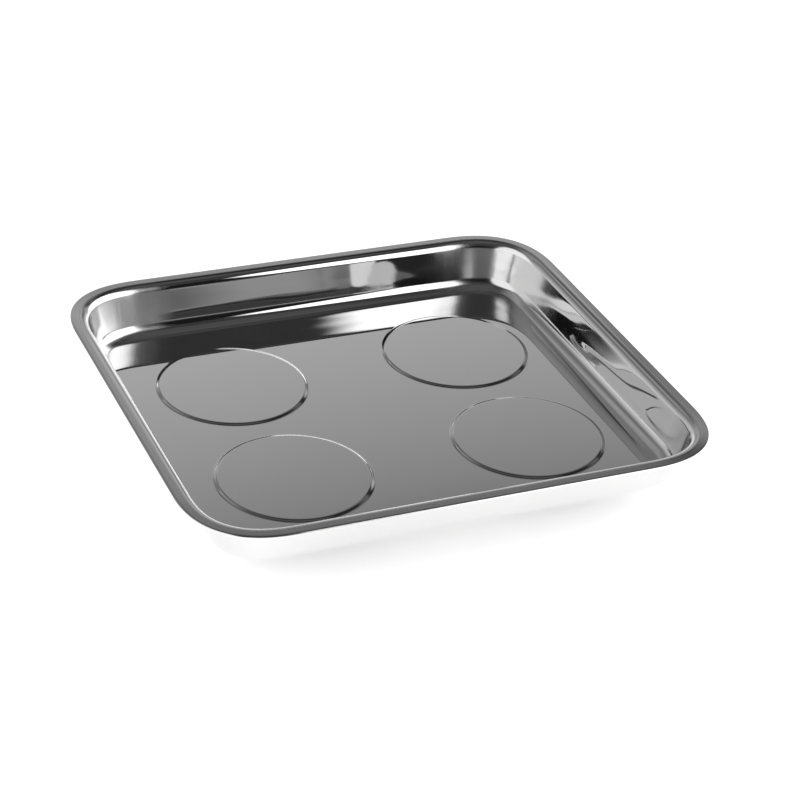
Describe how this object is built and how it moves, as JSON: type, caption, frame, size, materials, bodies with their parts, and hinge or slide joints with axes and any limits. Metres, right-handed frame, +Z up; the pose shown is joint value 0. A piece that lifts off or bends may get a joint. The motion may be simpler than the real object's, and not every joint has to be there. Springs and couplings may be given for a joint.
{
  "type": "magnetic parts tray",
  "caption": "Shallow pressed steel tray with rounded corners and a hemmed rim; ring magnets in rubber boots under raised pads hold loose screws and hold the tray on steel.",
  "frame": {"origin": "on the bench under the middle of the tray, in the plane of the rubber soles", "axes": "+X along the longer side, +Y from front to rear, +Z up out of the tray"},
  "size_m": [0.29, 0.268, 0.0394],
  "materials": {
    "tray_steel": "bright mirror",
    "stud_steel": "copper-washed thread",
    "ferrite": "ground matt",
    "boot_rubber": "moulded matt",
    "zinc_steel": "bright zinc plate"
  },
  "bodies": {
    "root": {"tray": "tray_steel", "weld_stud_front_left": "stud_steel", "weld_stud_front_right": "stud_steel", "weld_stud_rear_left": "stud_steel", "weld_stud_rear_right": "stud_steel", "ring_magnet_front_left": "ferrite", "ring_magnet_front_right": "ferrite", "ring_magnet_rear_left": "ferrite", "ring_magnet_rear_right": "ferrite", "rubber_boot_front_left": "boot_rubber", "rubber_boot_front_right": "boot_rubber", "rubber_boot_rear_left": "boot_rubber", "rubber_boot_rear_right": "boot_rubber", "clamp_washer_front_left": "zinc_steel", "clamp_washer_front_right": "zinc_steel", "clamp_washer_rear_left": "zinc_steel", "clamp_washer_rear_right": "zinc_steel", "lock_nut_front_left": "zinc_steel", "lock_nut_front_right": "zinc_steel", "lock_nut_rear_left": "zinc_steel", "lock_nut_rear_right": "zinc_steel"}
  },
  "joints": []
}
